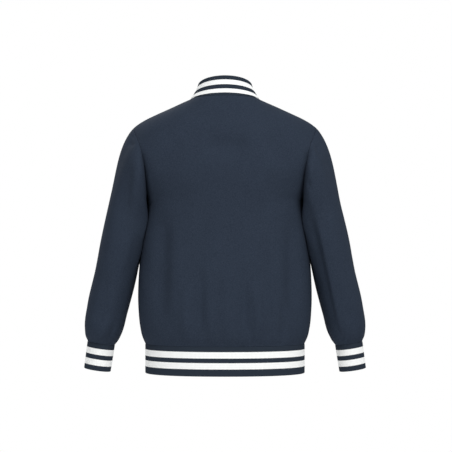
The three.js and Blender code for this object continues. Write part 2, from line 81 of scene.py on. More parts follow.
NECK = {"half": 87, "side_y": -8, "side_z": -2.4}
NECK_END = {"back": (75, 2.5), "front": (-62, -82)}
SHOULDER = {"reach": 149, "slope": 0.44, "roll": 9.5, "roll_power": 8}
NECK_SHARE = 5 / 12
SQUARE = 2.25
UNDERARM_TURN = 0.7
PUFF = {"outward": 0.5, "along": 0.85}

# Body sections from the rib seam to the underarm: height, half width, depth behind and in front.
BodyRow = namedtuple("BodyRow", "z half back front")
BODY_ROWS = [
    BodyRow(RIB_SEAM_Z, 203, 124, 128),
    BodyRow(-612, 211, 132, 137),
    BodyRow(-585, 217, 137, 143),
    BodyRow(-540, 221, 138, 146),
    BodyRow(-450, 220, 135, 148),
    BodyRow(-360, 211, 131, 146),
    BodyRow(-268, 199, 133, 142),
]
UNDERARM = len(BODY_ROWS) - 1

# Rows over the underarm: height and depth at the centre line, then where they meet the armhole.
YokeRow = namedtuple("YokeRow", "z depth edge_x edge_y edge_z")
YOKE = {
    "back": [
        YokeRow(-240, 135, 198, 44, -250),
        YokeRow(-197, 137, 200, 78, -212),
        YokeRow(-152, 133, 205, 92, -165),
        YokeRow(-103, 124, 213, 76, -130),
        YokeRow(-52, 104, 225, 40, -100),
    ],
    "front": [
        YokeRow(-247, 142, 198, 42, -250),
        YokeRow(-215, 140, 198, 74, -212),
        YokeRow(-181, 132, 202, 84, -165),
        YokeRow(-148, 117, 212, 70, -130),
        YokeRow(-116, 94, 224, 42, -100),
    ],
}

# Directions in which a panel reaches its top edge, at its centre line, neck point and shoulder tip.
TOP_DIRECTION = {
    "back": ((0, -0.6, 0.8), (-0.15, -0.99, 0.02), (0.1, -0.99, 0.1)),
    "front": ((0, 0.7, 0.71), (-0.15, 0.99, 0.02), (0.1, 0.99, 0.1)),
}

# The left front laps over the right one.
LAP = {"half": 12.5, "full": 30, "end": 75, "gap": 0.5}
CALM_LAP = (20, 50)

# Sleeve sections, each square to the arm: centre, tilt off level, and half sizes outward, toward the body
# and deep.
SleeveRow = namedtuple("SleeveRow", "x y z tilt outer inner deep")
SLEEVE_ROWS = [
    SleeveRow(249, -2, -298, 20, 52.5, 74, 80),
    SleeveRow(265.5, -4, -372, 14, 53.5, 64, 78),
    SleeveRow(281, -8, -448, 12.5, 52.5, 53.5, 73),
    SleeveRow(303, -15, -541, 12, 51.5, 51.5, 66),
    SleeveRow(315, -19, -600, 10, 47, 47, 58),
    SleeveRow(318.3, -21, -618, 9, 41, 41, 48),
    SleeveRow(319.6, -22, -629, 8.5, 34, 34, 38),
]
CAP_PUFF = {"top": 0.27, "behind": 0.6, "along": 0.75, "tuck": -0.2}
CAP_TURNS = {"top_to": 20, "behind_from": 70, "tuck_from": 95, "tuck_to": 175}
BODY_CLEARANCE = 2.4

CUFF = {"length": 70, "tilt": 8.5, "forward": 3, "taper": 0.97}

# Collar: its length up from the neckline, and how far it leans in at the seam and at its top edge.
CollarShape = namedtuple("CollarShape", "length lean_low lean_high")
COLLAR = {
    "nape": CollarShape(55, 30, 6),
    "side": CollarShape(41, 42, 16),
    "throat": CollarShape(35, 30, 6),
}
# How its front ends round off and stand apart, and how far its base rises at the shoulder seams.
COLLAR_END = {"round": 22, "share": 0.45, "gap": 4}
COLLAR_LIFT = 2.0

# Rows of a rib past its seam, behind the felt: how far past it and how far in.
TUCKED_ROWS = [(5.0, 2.4), (2.4, 1.7)]

# Stripes of the rib from its free edge to its seam, navy first and then white and navy in turn.
BAND_STRIPES = (18, 15.8, 11.5, 15.8, 13)
COLLAR_STRIPES = (11, 12.5, 12, 11.6, 13)
CUFF_STRIPES = (13.5, 16, 12, 15.5, 13)

# How finely the cloth is cut: distances between its points, and closer ones that round its edges.
CLOTH_STEP = 3.8
EDGE_STEPS = np.array([0, 0.25, 0.7, 1.4, 2.4])
SAMPLES = 40
CURVE_SAMPLES = 900
RIB_PITCH = 3.3
COLUMNS_PER_RIB = 4
RIB_RELIEF = 0.3

# ---------------- folds, in millimetres

# A soft trough or ridge between two places on the cloth as seen from behind or from the front: its width,
# its height over the cloth, how far its middle bows to its left, and how its sides fall: power 2, the
# usual one, is a soft roll and power 1 a crisp edge.
Fold = namedtuple("Fold", "x0 z0 x1 z1 width height bow power", defaults=[2])

BACK_FOLDS = [
    Fold(166, -612, 158, -255, 23, -10.5, 5),
    Fold(126, -600, 120, -300, 22, 4.4, -4),
    Fold(-173, -612, -170, -270, 20, -9.5, -4),
    Fold(-138, -600, -130, -360, 20, 4.0, 3),
    Fold(68, -630, 62, -410, 14, -7.0, 3),
    Fold(100, -630, 98, -450, 12, 5.0, 0),
    Fold(34, -630, 40, -500, 12, 3.0, 2),
    Fold(-3, -630, 2, -380, 20, 6.0, 3),
    Fold(-57, -630, -46, -420, 15, -7.0, -3),
    Fold(-85, -630, -76, -450, 12, 5.4, 2),
    Fold(-116, -630, -112, -520, 12, -3.6, 0),
    Fold(-148, -630, -140, -500, 12, -4.8, 2),
    Fold(-76, -140, 66, -126, 27, -10.0, 8),
    Fold(112, -90, 176, -196, 22, -4.0, -6),
    Fold(-104, -84, -172, -190, 20, -3.6, 7),
    Fold(20, -196, 70, -330, 26, -2.4, 6),
    Fold(-38, -210, -72, -360, 30, -2.0, -5),
]

LEFT_FRONT_FOLDS = [
    Fold(148, -612, 132, -300, 24, -7.0, -5),
    Fold(108, -606, 112, -360, 20, 3.6, 4),
    Fold(70, -622, 76, -470, 15, -4.4, -3),
    Fold(172, -622, 170, -520, 12, -3.4, 0),
    Fold(176, -236, 118, -150, 20, -5.4, -8),
    Fold(160, -260, 92, -210, 17, -3.4, -5),
    Fold(112, -96, 150, -176, 19, 3.0, 4),
]
RIGHT_FRONT_FOLDS = [
    Fold(-154, -612, -142, -330, 22, -6.4, 4),
    Fold(-118, -606, -104, -400, 21, 3.9, -4),
    Fold(-84, -622, -80, -500, 14, -3.8, 3),
    Fold(-60, -622, -64, -540, 12, 2.4, 0),
    Fold(-178, -232, -124, -156, 18, -5.0, 7),
    Fold(-164, -276, -104, -232, 18, -3.6, 5),
    Fold(-108, -92, -146, -164, 18, 2.8, -4),
]

# Sleeves are cut as the left one, with x growing down the arm, and the right one is then mirrored.
LEFT_SLEEVE_BEHIND = [
    Fold(221, -140, 229, -330, 11, 3.0, 2),
    Fold(246, -140, 256, -330, 17, -4.6, -5),
    Fold(274, -210, 292, -420, 15, 2.8, 4),
    Fold(246, -110, 226, -124, 7, -2.6, 2),
    Fold(228, -96, 240, -104, 5, -1.4, 0),
    Fold(238, -330, 262, -452, 10, 2.8, -2),
    Fold(262, -532, 303, -626, 8, -5.2, -5, 1.5),
    Fold(284, -560, 326, -626, 12, 3.0, 4),
    Fold(300, -430, 326, -600, 16, -3.2, -4),
]
LEFT_SLEEVE_BEFORE = [
    Fold(232, -160, 246, -360, 15, -4.6, 4),
    Fold(262, -190, 282, -400, 18, 3.4, -5),
    Fold(252, -400, 300, -470, 13, -4.8, 6),
    Fold(262, -440, 316, -520, 12, -3.6, -5),
    Fold(284, -540, 312, -624, 11, -4.0, 3),
    Fold(240, -106, 226, -128, 8, -2.4, 0),
]
RIGHT_SLEEVE_BEHIND = [
    Fold(216, -236, 304, -640, 9, 6.5, 2, 1.3),
    Fold(206, -262, 284, -622, 12, -5.6, 2),
    Fold(219, -158, 217, -212, 6, 3.2, -1, 1.6),
    Fold(198, -214, 218, -228, 6, -3.6, 0),
    Fold(210, -222, 224, -290, 7, 3.0, -3, 1.6),
    Fold(213, -112, 246, -176, 9, 3.6, -3, 1.8),
    Fold(230, -112, 242, -160, 8, -4.2, -2),
    Fold(250, -140, 268, -240, 13, -2.8, 3),
    Fold(262, -300, 300, -520, 17, 2.4, -4),
    Fold(276, -570, 306, -632, 6, -3.6, 2, 1.5),
    Fold(316, -520, 330, -620, 11, -3.2, 3),
]
RIGHT_SLEEVE_BEFORE = [
    Fold(228, -150, 250, -380, 16, -4.8, -4),
    Fold(264, -200, 286, -420, 17, 3.4, 5),
    Fold(258, -416, 306, -498, 13, -4.6, -6),
    Fold(280, -500, 330, -560, 12, -3.2, 4),
    Fold(290, -556, 316, -626, 10, -3.6, -2),
    Fold(238, -104, 228, -130, 8, -2.2, 1),
]

# The seam of the armhole lies in a crease below its top, drawn in toward the middle of the arm.
ARMHOLE_CREASE = {"depth": 8, "width": 9, "power": 1.3, "none_at": -126, "full_at": -160}

# Small pleats over the rib: depth, how far up they reach and how far apart they are.
BODY_GATHERS = {"depth": 2.2, "reach": 66, "spacing": 27}
CUFF_GATHERS = {"depth": 2.0, "reach": 50, "spacing": 20}
SLACK = {"height": 0.45, "longest": 150, "shortest": 55, "waves": 9}

# Folds fade out this far from a panel's edges or from the armhole, and gathers by a seam.
PANEL_MARGIN = 24
SLEEVE_MARGIN = 12
GATHER_MARGIN = 7

# A hanging sleeve presses the body between these widths and heights, and folds stay this low there.
PRESSED = {"x": (140, 165), "z": (-470, -430), "height": 0.6}

# ---------------- numbers and curves


def lerp(start, end, share):
    return start + (end - start) * share


def smoothstep(value, start=0.0, end=1.0):
    t = np.clip((value - start) / (end - start), 0, 1)
    return t * t * (3 - 2 * t)


def unit(vectors):
    return vectors / np.linalg.norm(vectors, axis=-1, keepdims=True)


def lengths_along(points):
    """Length from the first point of a line to each of its points."""
    steps = np.linalg.norm(np.diff(points, axis=0), axis=-1)
    return np.concatenate([np.zeros((1, *steps.shape[1:])), np.cumsum(steps, axis=0)])


def interpolated(at, places, vectors):
    """The vectors, which lie at rising places, read off at other places."""
    return np.stack([np.interp(at, places, vectors[:, k]) for k in range(3)], axis=1)


def even_curve(points, shares):
    """The points at shares, by length, of a finely sampled curve."""
    along = lengths_along(points)
    return interpolated(np.asarray(shares) * along[-1], along, points)


def resample_columns(columns, shares):
    """Each column cut again at the same shares of its length."""
    cut = [even_curve(columns[:, c], shares) for c in range(columns.shape[1])]
    return np.stack(cut, axis=1)


def spaced_shares(length, edge_start=True, edge_end=True):
    """Shares of a length, a cloth step apart, and closer by an end that is an edge of the cloth."""
    start = EDGE_STEPS if edge_start else EDGE_STEPS[:1]
    end = EDGE_STEPS if edge_end else EDGE_STEPS[:1]
    count = round((length - start[-1] - end[-1]) / CLOTH_STEP)
    middle = np.linspace(start[-1], length - end[-1], count + 1)
    return np.concatenate([start[:-1], middle, length - end[-2::-1]]) / length


def knot_slopes(knots, start, end):
    """Slopes for smooth columns through rows of knots that lie unevenly apart."""
    chords = np.diff(knots, axis=0)
    sizes = np.linalg.norm(chords, axis=2, keepdims=True)
    ratio = sizes[1:] / sizes[:-1]
    inner = (chords[:-1] * ratio + chords[1:] / ratio) / (sizes[:-1] + sizes[1:])
    return np.concatenate([unit(start)[None], inner, unit(end)[None]])


def hermite(start, end, slope_start, slope_end, t):
    t = t[:, None, None]
    chord = np.linalg.norm(end - start, axis=1)[:, None]
    return (
        start * (1 + 2 * t) * (1 - t) ** 2
        + slope_start * chord * t * (1 - t) ** 2
        + end * t * t * (3 - 2 * t)
        + slope_end * chord * t * t * (t - 1)
    )


def columns_through(knots, start, end, bend=None):
    """Smooth columns through rows of knots, finely sampled. At the bend's knot they turn by its share."""
    arriving = knot_slopes(knots, start, end)
    leaving = arriving.copy()
    if bend:
        knot, direction, share = bend
        straight = unit(knots[knot] - knots[knot - 1])
        arriving[knot] = lerp(arriving[knot], straight, share[:, None])
        leaving[knot] = lerp(leaving[knot], direction, share[:, None])
    t = np.arange(SAMPLES) / SAMPLES
    spans = [
        hermite(knots[i], knots[i + 1], leaving[i], arriving[i + 1], t)
        for i in range(len(knots) - 1)
    ]
    return np.concatenate([*spans, knots[-1:]])


def mirrored(grid):
    return grid * np.array([-1, 1, 1])


# ---------------- grids


def differences(grid, axis, closed):
    if closed:
        return np.roll(grid, -1, axis) - np.roll(grid, 1, axis)
    return np.gradient(grid, axis=axis, edge_order=2)


def grid_normals(grid, closed=False):
    """Unit normals of a grid, pointing away from the vertical line or the arm that it goes round."""
    normals = unit(np.cross(differences(grid, 1, closed), differences(grid, 0, False)))
    middle = grid.mean(axis=1, keepdims=True) if closed else np.zeros(3)
    outward = (grid - middle) * np.array([1, 1, 0])
    return normals * np.sign((normals * outward).sum())


def edge_distance(grid, closed=False):
    """How far each point of a grid is from the nearest edge, measured along its row and its column."""
    up = lengths_along(grid)
    nearest = np.minimum(up, up[-1] - up)
    if not closed:
        across = lengths_along(grid.swapaxes(0, 1)).T
        nearest = np.minimum(nearest, np.minimum(across, across[:, -1:] - across))
    return nearest


def edge_rounding(distance, width, least):
    """Share of its thickness that cloth has near its rounded edge."""
    inside = 1 - np.clip(distance / width, 0, 1)
    return np.maximum(np.sqrt(1 - inside**2), least)


def drawn_in(grid, from_armhole):
    """A grid with the parts near its armhole's edge drawn into the crease in which the seam lies."""
    y, z = grid[..., 1], grid[..., 2]
    near = np.exp(-((from_armhole / ARMHOLE_CREASE["width"]) ** ARMHOLE_CREASE["power"]))
    low = smoothstep(-z, -ARMHOLE_CREASE["none_at"], -ARMHOLE_CREASE["full_at"])
    depth = ARMHOLE_CREASE["depth"] * near * low * smoothstep(np.abs(y), 15, 45)
    return grid - np.stack([0 * y, np.sign(y) * depth, 0 * y], axis=-1)


def fold_field(x, z, folds):
    """Height of the folds over the cloth at places seen from behind or from the front."""
    height = np.zeros_like(x)
    for fold in folds:
        run_x, run_z = fold.x1 - fold.x0, fold.z1 - fold.z0
        length = math.hypot(run_x, run_z)
        along = ((x - fold.x0) * run_x + (z - fold.z0) * run_z) / length**2
        across = ((z - fold.z0) * run_x - (x - fold.x0) * run_z) / length
        across = across - fold.bow * 4 * along * (1 - along)
        ends = smoothstep(along, 0, 0.35) * smoothstep(1 - along, 0, 0.35)
        height += fold.height * np.exp(-(np.abs(across) / fold.width) ** fold.power) * ends
    return height


def slack_field(x, z, seed):
    """A slight unevenness all over a panel."""
    chance = np.random.default_rng(seed)
    height = np.zeros_like(x)
    for _ in range(SLACK["waves"]):
        turn = chance.uniform(-0.6, 0.6)
        wave = 2 * math.pi / chance.uniform(SLACK["shortest"], SLACK["longest"])
        phase = chance.uniform(0, 2 * math.pi)
        height += np.sin(wave * (x * math.cos(turn) + z * math.sin(turn)) + phase)
    return height * SLACK["height"] / math.sqrt(SLACK["waves"])


def gather_field(along, up, sizes, seed):
    """Uneven small pleats that rise from a rib seam."""
    chance = np.random.default_rng(seed)
    height = np.zeros_like(along)
    place = along.min() + sizes["spacing"] * chance.uniform(0.2, 0.8)
    while place < along.max():
        width = sizes["spacing"] * chance.uniform(0.26, 0.46)
        tall = sizes["reach"] * chance.uniform(0.4, 1.0)
        depth = sizes["depth"] * chance.uniform(0.3, 1.0)
        lean = chance.uniform(-0.14, 0.14)
        across = (along - place - lean * up) / (width * (1 + 0.7 * up / tall))
        height -= depth * np.exp(-(across**2) - (up / tall) ** 2)
        place += sizes["spacing"] * chance.uniform(0.65, 1.5)
    return height


# ---------------- body


def outline_row(z, depth, edge_x, edge_y, edge_z, facing, shares):
    """Part of a rounded-square outline from (0, depth) outward to (edge_x, edge_y)."""
    power = 2 / SQUARE
    end_angle = math.acos((edge_y / depth) ** (1 / power))
    reach = edge_x / math.sin(end_angle) ** power
    angle = np.linspace(0, end_angle, CURVE_SAMPLES)
    x = reach * np.sin(angle) ** power
    y = depth * np.maximum(np.cos(angle), 0) ** power
    height = lerp(z, edge_z, (x / edge_x) ** 2)
    return even_curve(np.stack([x, facing * y, height], axis=1), shares)


def body_row(row, face, edge_y, shares):
    return outline_row(row.z, getattr(row, face), row.half, edge_y, row.z, FACING[face], shares)


def neckline(face, shares):
    """The neckline from the nape or the throat, at share 0, round to the shoulder seam at share 1."""
    angle = np.linspace(0, math.pi / 2, CURVE_SAMPLES)
    end_y, end_z = NECK_END[face]
    x = NECK["half"] * np.sin(angle)
    y = lerp(NECK["side_y"], end_y, np.cos(angle))
    z = lerp(NECK["side_z"], end_z, np.cos(angle))
    return even_curve(np.stack([x, y, z], axis=1), shares)


def shoulder(face, shares):
    t = np.linspace(0, 1, CURVE_SAMPLES)
    across = t * SHOULDER["reach"]
    z = NECK["side_z"] - SHOULDER["slope"] * across - SHOULDER["roll"] * t ** SHOULDER["roll_power"]
    y = np.full_like(t, NECK["side_y"] + FACING[face] * SEAM / 2)
    return even_curve(np.stack([NECK["half"] + across, y, z], axis=1), shares)


def top_edge(face, shares):
    at_neck = shares < NECK_SHARE
    neck = neckline(face, shares[at_neck] / NECK_SHARE)
    beyond = shoulder(face, (shares[~at_neck] - NECK_SHARE) / (1 - NECK_SHARE))
    return np.concatenate([neck, beyond])


def top_direction(face, shares):
    return interpolated(shares, [0, NECK_SHARE, 1], np.array(TOP_DIRECTION[face]))


def panel_half(face, shares, row_shares):
    """The half of a panel with x >= 0, from the rib seam up to the neck and shoulder."""
    facing = FACING[face]
    rows = [body_row(row, face, SEAM / 2, shares) for row in BODY_ROWS]
    rows += [outline_row(*row, facing, shares) for row in YOKE[face]]
    knots = np.array([*rows, top_edge(face, shares)])
    knots[0, :, 2] += SEAM / 2
    outward = unit(knots[0] * np.array([1, 1, 0]))
    puff = outward * PUFF["outward"] + np.array([0, 0, PUFF["along"]])
    turn = smoothstep(shares, UNDERARM_TURN, 1)
    bend = (UNDERARM, np.array([0, facing, 0]), turn)
    columns = columns_through(knots, puff, top_direction(face, shares), bend)
    underarm = UNDERARM * SAMPLES
    lower = resample_columns(columns[: underarm + 1], row_shares["lower"])
    upper = resample_columns(columns[underarm:], row_shares["upper"])
    return np.concatenate([lower, upper[1:]])


def panel_shares():
    """Where the columns and the rows of the panels are cut."""
    neck_length, side_length, lower_length, upper_length = 112, 158, 372, 240
    neck = spaced_shares(neck_length, False, False) * NECK_SHARE
    side = spaced_shares(side_length, False, True) * (1 - NECK_SHARE) + NECK_SHARE
    columns = np.concatenate([neck[:-1], side])
    rows = {
        "lower": spaced_shares(lower_length, True, False),
        "upper": spaced_shares(upper_length, False, True),
    }
    return columns, rows


def back_grid(shares, row_shares):
    half = panel_half("back", shares, row_shares)
    return np.concatenate([mirrored(half[:, :0:-1]), half], axis=1)


def lap_room(x, thickness):
    """How far lapped cloth parts from the middle of the lap."""
    full = (thickness + LAP["gap"]) / 2
    return full * (1 - smoothstep(np.abs(x), LAP["full"], LAP["end"]))


def front_grid(shares, row_shares, layer):
    """A front for x >= 0 with its lap over the centre line. Layer is 1 for the outer and -1 for the inner."""
    half = panel_half("front", shares, row_shares)
    over = LAP["half"] * (1 - spaced_shares(LAP["half"], True, False)[:-1])
    lap = np.empty((len(half), len(over), 3))
    for r, row in enumerate(half):
        lap[r, :, 0] = -over
        lap[r, :, 1] = np.interp(over, row[:, 0], row[:, 1])
        lap[r, :, 2] = np.interp(over, row[:, 0], row[:, 2])
    grid = np.concatenate([lap, half], axis=1)
    along = np.gradient(half[:, 0], axis=0)
    outward = unit(np.stack([0 * along[:, 0], -along[:, 2], along[:, 1]], axis=1))
    return grid + outward[:, None] * (layer * lap_room(grid[..., 0], FELT))[..., None]


def beside_sleeve(points):
    """Share by which a place on the body is pressed by a hanging sleeve."""
    return smoothstep(np.abs(points[..., 0]), *PRESSED["x"]) * smoothstep(points[..., 2], *PRESSED["z"])


def creased_panel(grid, folds, seed, lapped):
    """A panel with its folds, its gathers over the hem and some slack. A lapped one has a smooth lap."""
    across = lengths_along(grid.swapaxes(0, 1)).T
    from_side = across[:, -1:] - across
    if not lapped:
        from_side = np.minimum(from_side, across)
    grid = drawn_in(grid, from_side)
    x, z = grid[..., 0], grid[..., 2]
    up = lengths_along(grid)
    seam = edge_distance(grid)
    height = fold_field(x, z, folds) + slack_field(x, z, seed)
    height = height * smoothstep(seam, 0, PANEL_MARGIN)
    height += gather_field(x, up, BODY_GATHERS, seed) * smoothstep(seam, 0, GATHER_MARGIN)
    low = PRESSED["height"]
    height = np.where(height > low, lerp(height, low, beside_sleeve(grid)), height)
    if lapped:
        height = height * smoothstep(np.abs(x), *CALM_LAP)
    return grid + grid_normals(grid) * height[..., None]


# ---------------- sleeves


def body_at(z, key):
    return np.interp(z, [row.z for row in BODY_ROWS], [getattr(row, key) for row in BODY_ROWS])


def clear_of_body(points):
    """Moves points that are inside the body, or too near it, out to where a sleeve lies against it."""
    x, y, z = np.moveaxis(points, -1, 0)
    half = body_at(z, "half") + BODY_CLEARANCE
    depth = np.where(y > 0, body_at(z, "back"), body_at(z, "front")) + BODY_CLEARANCE
    level = (np.abs(x / half) ** SQUARE + np.abs(y / depth) ** SQUARE) ** (1 / SQUARE)
    inside = (level < 1) & (z <= BODY_ROWS[UNDERARM].z)
    scale = np.where(inside, level, 1)
    return points / np.stack([scale, scale, np.ones_like(scale)], axis=-1)


def around_arm(angle, tilt):
    """Direction from the arm's middle at an angle: 0 is outside, 90 degrees behind, 180 at the body."""
    lean = math.radians(tilt)
    across = np.cos(angle)
    return np.stack([across * math.cos(lean), np.sin(angle), across * math.sin(lean)], axis=-1)


def down_arm(tilt, forward=0.0):
    lean, swing = math.radians(tilt), math.radians(forward)
    return unit(np.array([math.sin(lean), -math.sin(swing), -math.cos(lean)]))


def sleeve_ring(row, angle):
    lean = math.radians(row.tilt)
    across = np.where(np.cos(angle) > 0, row.outer, row.inner) * np.cos(angle)
    return np.stack([
        row.x + across * math.cos(lean),
        row.y + row.deep * np.sin(angle),
        row.z + across * math.sin(lean),
    ], axis=-1)


def armhole_half(panel, underarm_row, count):
    """Points of the armhole from the shoulder to the underarm, with the way out of the panel there."""
    normals = grid_normals(panel)
    edge = panel[underarm_row:, -1][::-1]
    along = np.gradient(edge, axis=0)
    outward = unit(np.cross(normals[underarm_row:, -1][::-1], along))
    outward *= np.sign(outward[len(edge) // 2, 0])
    shares = np.linspace(0, 1, count + 1)
    steps = lengths_along(edge)
    return even_curve(edge, shares), unit(interpolated(shares * steps[-1], steps, outward))


def armhole_ring(back, front, underarm_row, count):
    """The armhole all round, from the shoulder behind the arm to the underarm and back up before it."""
    behind, behind_out = armhole_half(back, underarm_row, count)
    before, before_out = armhole_half(front, underarm_row, count)
    top = (behind[:1] + before[:1]) / 2
    low = (behind[-1:] + before[-1:]) / 2
    top_out = unit(behind_out[:1] + before_out[:1])
    low_out = unit(behind_out[-1:] + before_out[-1:])
    points = np.concatenate([top, behind[1:-1], low, before[-2:0:-1]])
    outward = np.concatenate([top_out, behind_out[1:-1], low_out, before_out[-2:0:-1]])
    return points, outward


def leave_direction(angle):
    """The way a sleeve leaves the armhole: it puffs out over the top and tucks in at the underarm."""
    from_top = np.degrees(np.minimum(angle, 2 * math.pi - angle))
    behind = smoothstep(from_top, CAP_TURNS["top_to"], CAP_TURNS["behind_from"])
    tuck = smoothstep(from_top, CAP_TURNS["tuck_from"], CAP_TURNS["tuck_to"])
    outward = lerp(lerp(CAP_PUFF["top"], CAP_PUFF["behind"], behind), CAP_PUFF["tuck"], tuck)
    tilt = SLEEVE_ROWS[0].tilt
    return unit(around_arm(angle, tilt) * outward[:, None] + down_arm(tilt) * CAP_PUFF["along"])


def sleeve_grid(ring_points, ring_outward):
    """A sleeve from the armhole, its first row, down to the cuff."""
    count = len(ring_points)
    angle = np.arange(count) * 2 * math.pi / count
    leave = leave_direction(angle)
    start = ring_points + unit(ring_outward + leave) * SEAM
    rings = [clear_of_body(sleeve_ring(row, angle)) for row in SLEEVE_ROWS]
    knots = np.array([start, *rings])
    last = SLEEVE_ROWS[-1]
    gather = around_arm(angle, last.tilt) * -PUFF["outward"] + down_arm(last.tilt) * PUFF["along"]
    columns = columns_through(knots, leave, gather)
    longest = 560
    return resample_columns(columns, spaced_shares(longest))


def creased_sleeve(grid, behind, before, seed):
    """A sleeve with its folds, its gathers over the cuff and some slack, kept clear of the body."""
    grid = drawn_in(grid, lengths_along(grid))
    x, z = grid[..., 0], grid[..., 2]
    normals = grid_normals(grid, True)
    facing = smoothstep(normals[..., 1], -0.25, 0.25)
    folds = lerp(fold_field(x, z, before), fold_field(x, z, behind), facing)
    down = lengths_along(grid)
    up = down[-1] - down
    count = grid.shape[1]
    round_arm = np.broadcast_to(np.arange(count) * ring_length(grid[-1]) / count, x.shape)
    height = (folds + slack_field(round_arm, z, seed)) * smoothstep(down, 0, SLEEVE_MARGIN)
    pressed = smoothstep(-normals[..., 0], 0.4, 0.8)
    height = np.where(height < 0, height * (1 - pressed), height)
    height += gather_field(round_arm, up, CUFF_GATHERS, seed)
    height *= smoothstep(up, 0, GATHER_MARGIN)
    creased = grid + normals * height[..., None]
    free = smoothstep(down, 0, 6)[..., None]
    return lerp(creased, clear_of_body(creased), free)


def ring_length(ring):
    return np.linalg.norm(np.roll(ring, -1, axis=0) - ring, axis=1).sum()


# ---------------- rib bands


def rib_shares(length, closed):
    """Shares of a band's length at which its rib needs columns."""
    count = round(length / RIB_PITCH) * COLUMNS_PER_RIB
    return np.arange(count + (not closed)) / count


def hem_line():
    """The band's middle line from the left front's edge round the back to the right front's edge."""
    shares = np.linspace(0, 1, CURVE_SAMPLES)
    seam_row = BODY_ROWS[0]
    behind = body_row(seam_row, "back", 0, shares)
    before = body_row(seam_row, "front", 0, shares)
    over = np.linspace(LAP["half"], 0, 20, endpoint=False)
    lap_y = np.interp(over, before[:, 0], before[:, 1])
    lap = np.stack([-over, lap_y, np.full_like(over, seam_row.z)], axis=1)
    front = np.concatenate([lap, before])
    room = lap_room(front[:, 0], RIB)
    left, right = front.copy(), front.copy()
    left[:, 1] -= room
    right[:, 1] += room
    return np.concatenate([left, behind[-2::-1], mirrored(behind[1:]), mirrored(right[-2::-1])])


def hem_grid():
    line = hem_line()
    columns = even_curve(line, rib_shares(lengths_along(line)[-1], False))
    top = RIB_SEAM_Z - SEAM / 2
    shares = spaced_shares(top - HEM_Z)
    grid = np.repeat(columns[None], len(shares), axis=0)
    grid[..., 2] = lerp(top, HEM_Z, shares)[:, None]
    return grid


def cuff_grid():
    last = SLEEVE_ROWS[-1]
    fine = sleeve_ring(last, np.linspace(0, 2 * math.pi, CURVE_SAMPLES))
    top = even_curve(fine, rib_shares(lengths_along(fine)[-1], True))
    centre = np.array([last.x, last.y, last.z])
    down = down_arm(CUFF["tilt"], CUFF["forward"])
    rows = []
    for share in spaced_shares(CUFF["length"]):
        narrow = lerp(1, CUFF["taper"], share)
        rows.append(lerp(centre, top, narrow) + down * (share * CUFF["length"] + SEAM))
    return np.array(rows)


def neck_line():
    """The neckline all round, from one front edge to the other."""
    shares = np.linspace(0, 1, CURVE_SAMPLES)
    before = neckline("front", shares)
    behind = neckline("back", shares)
    half = np.concatenate([before, behind[-2::-1]])
    return np.concatenate([half, mirrored(half[-2::-1])])


def collar_shapes(points, from_end):
    """Length of the collar, and its leans, at points of the neckline."""
    nape_y, throat_y, side_y = NECK_END["back"][0], NECK_END["front"][0], NECK["side_y"]
    behind = np.clip((points[:, 1] - side_y) / (nape_y - side_y), 0, 1)[:, None]
    before = np.clip((side_y - points[:, 1]) / (side_y - throat_y), 0, 1)[:, None]
    nape, side, throat = (np.array(COLLAR[key]) for key in ("nape", "side", "throat"))
    length, lean_low, lean_high = lerp(lerp(side, nape, behind), throat, before).T
    cut = 1 - np.clip(from_end / COLLAR_END["round"], 0, 1)
    return length * lerp(COLLAR_END["share"], 1, np.sqrt(1 - cut * cut)), lean_low, lean_high


def collar_grid():
    """The collar from its seam up, curling in toward the neck."""
    line = neck_line()
    total = lengths_along(line)[-1]
    gap = COLLAR_END["gap"] / 2
    shares = lerp(gap / total, 1 - gap / total, rib_shares(total - 2 * gap, False))
    points = even_curve(line, shares)
    places = shares * total
    lengths, lean_low, lean_high = collar_shapes(points, np.minimum(places, total - places) - gap)
    centre = np.array([0, (NECK_END["back"][0] + NECK_END["front"][0]) / 2, 0])
    inward = unit((centre - points) * np.array([1, 1, 0]))
    lift = lerp(SEAM, COLLAR_LIFT, (points[:, 0] / NECK["half"]) ** 2)
    base = points + lift[:, None] * UP
    rows = []
    for share in spaced_shares(COLLAR["nape"].length):
        steps = np.linspace(0, share, 24)[:, None]
        lean = np.radians(lerp(lean_low, lean_high, steps))
        inside = (np.sin(lean).mean(axis=0) * share * lengths)[:, None]
        above = (np.cos(lean).mean(axis=0) * share * lengths)[:, None]
        rows.append(base + inward * inside + UP * above)
    return np.array(rows)


def tucked(grid, onward, closed):
    """A band with more rows past its seam, that lie behind the felt and close the seam."""
    normals = grid_normals(grid, closed)[0]
    rows = [grid[0] + onward * past - normals * inside for past, inside in TUCKED_ROWS]
    return np.concatenate([rows, grid])


# ---------------- meshes

UV_MAP = "cloth"


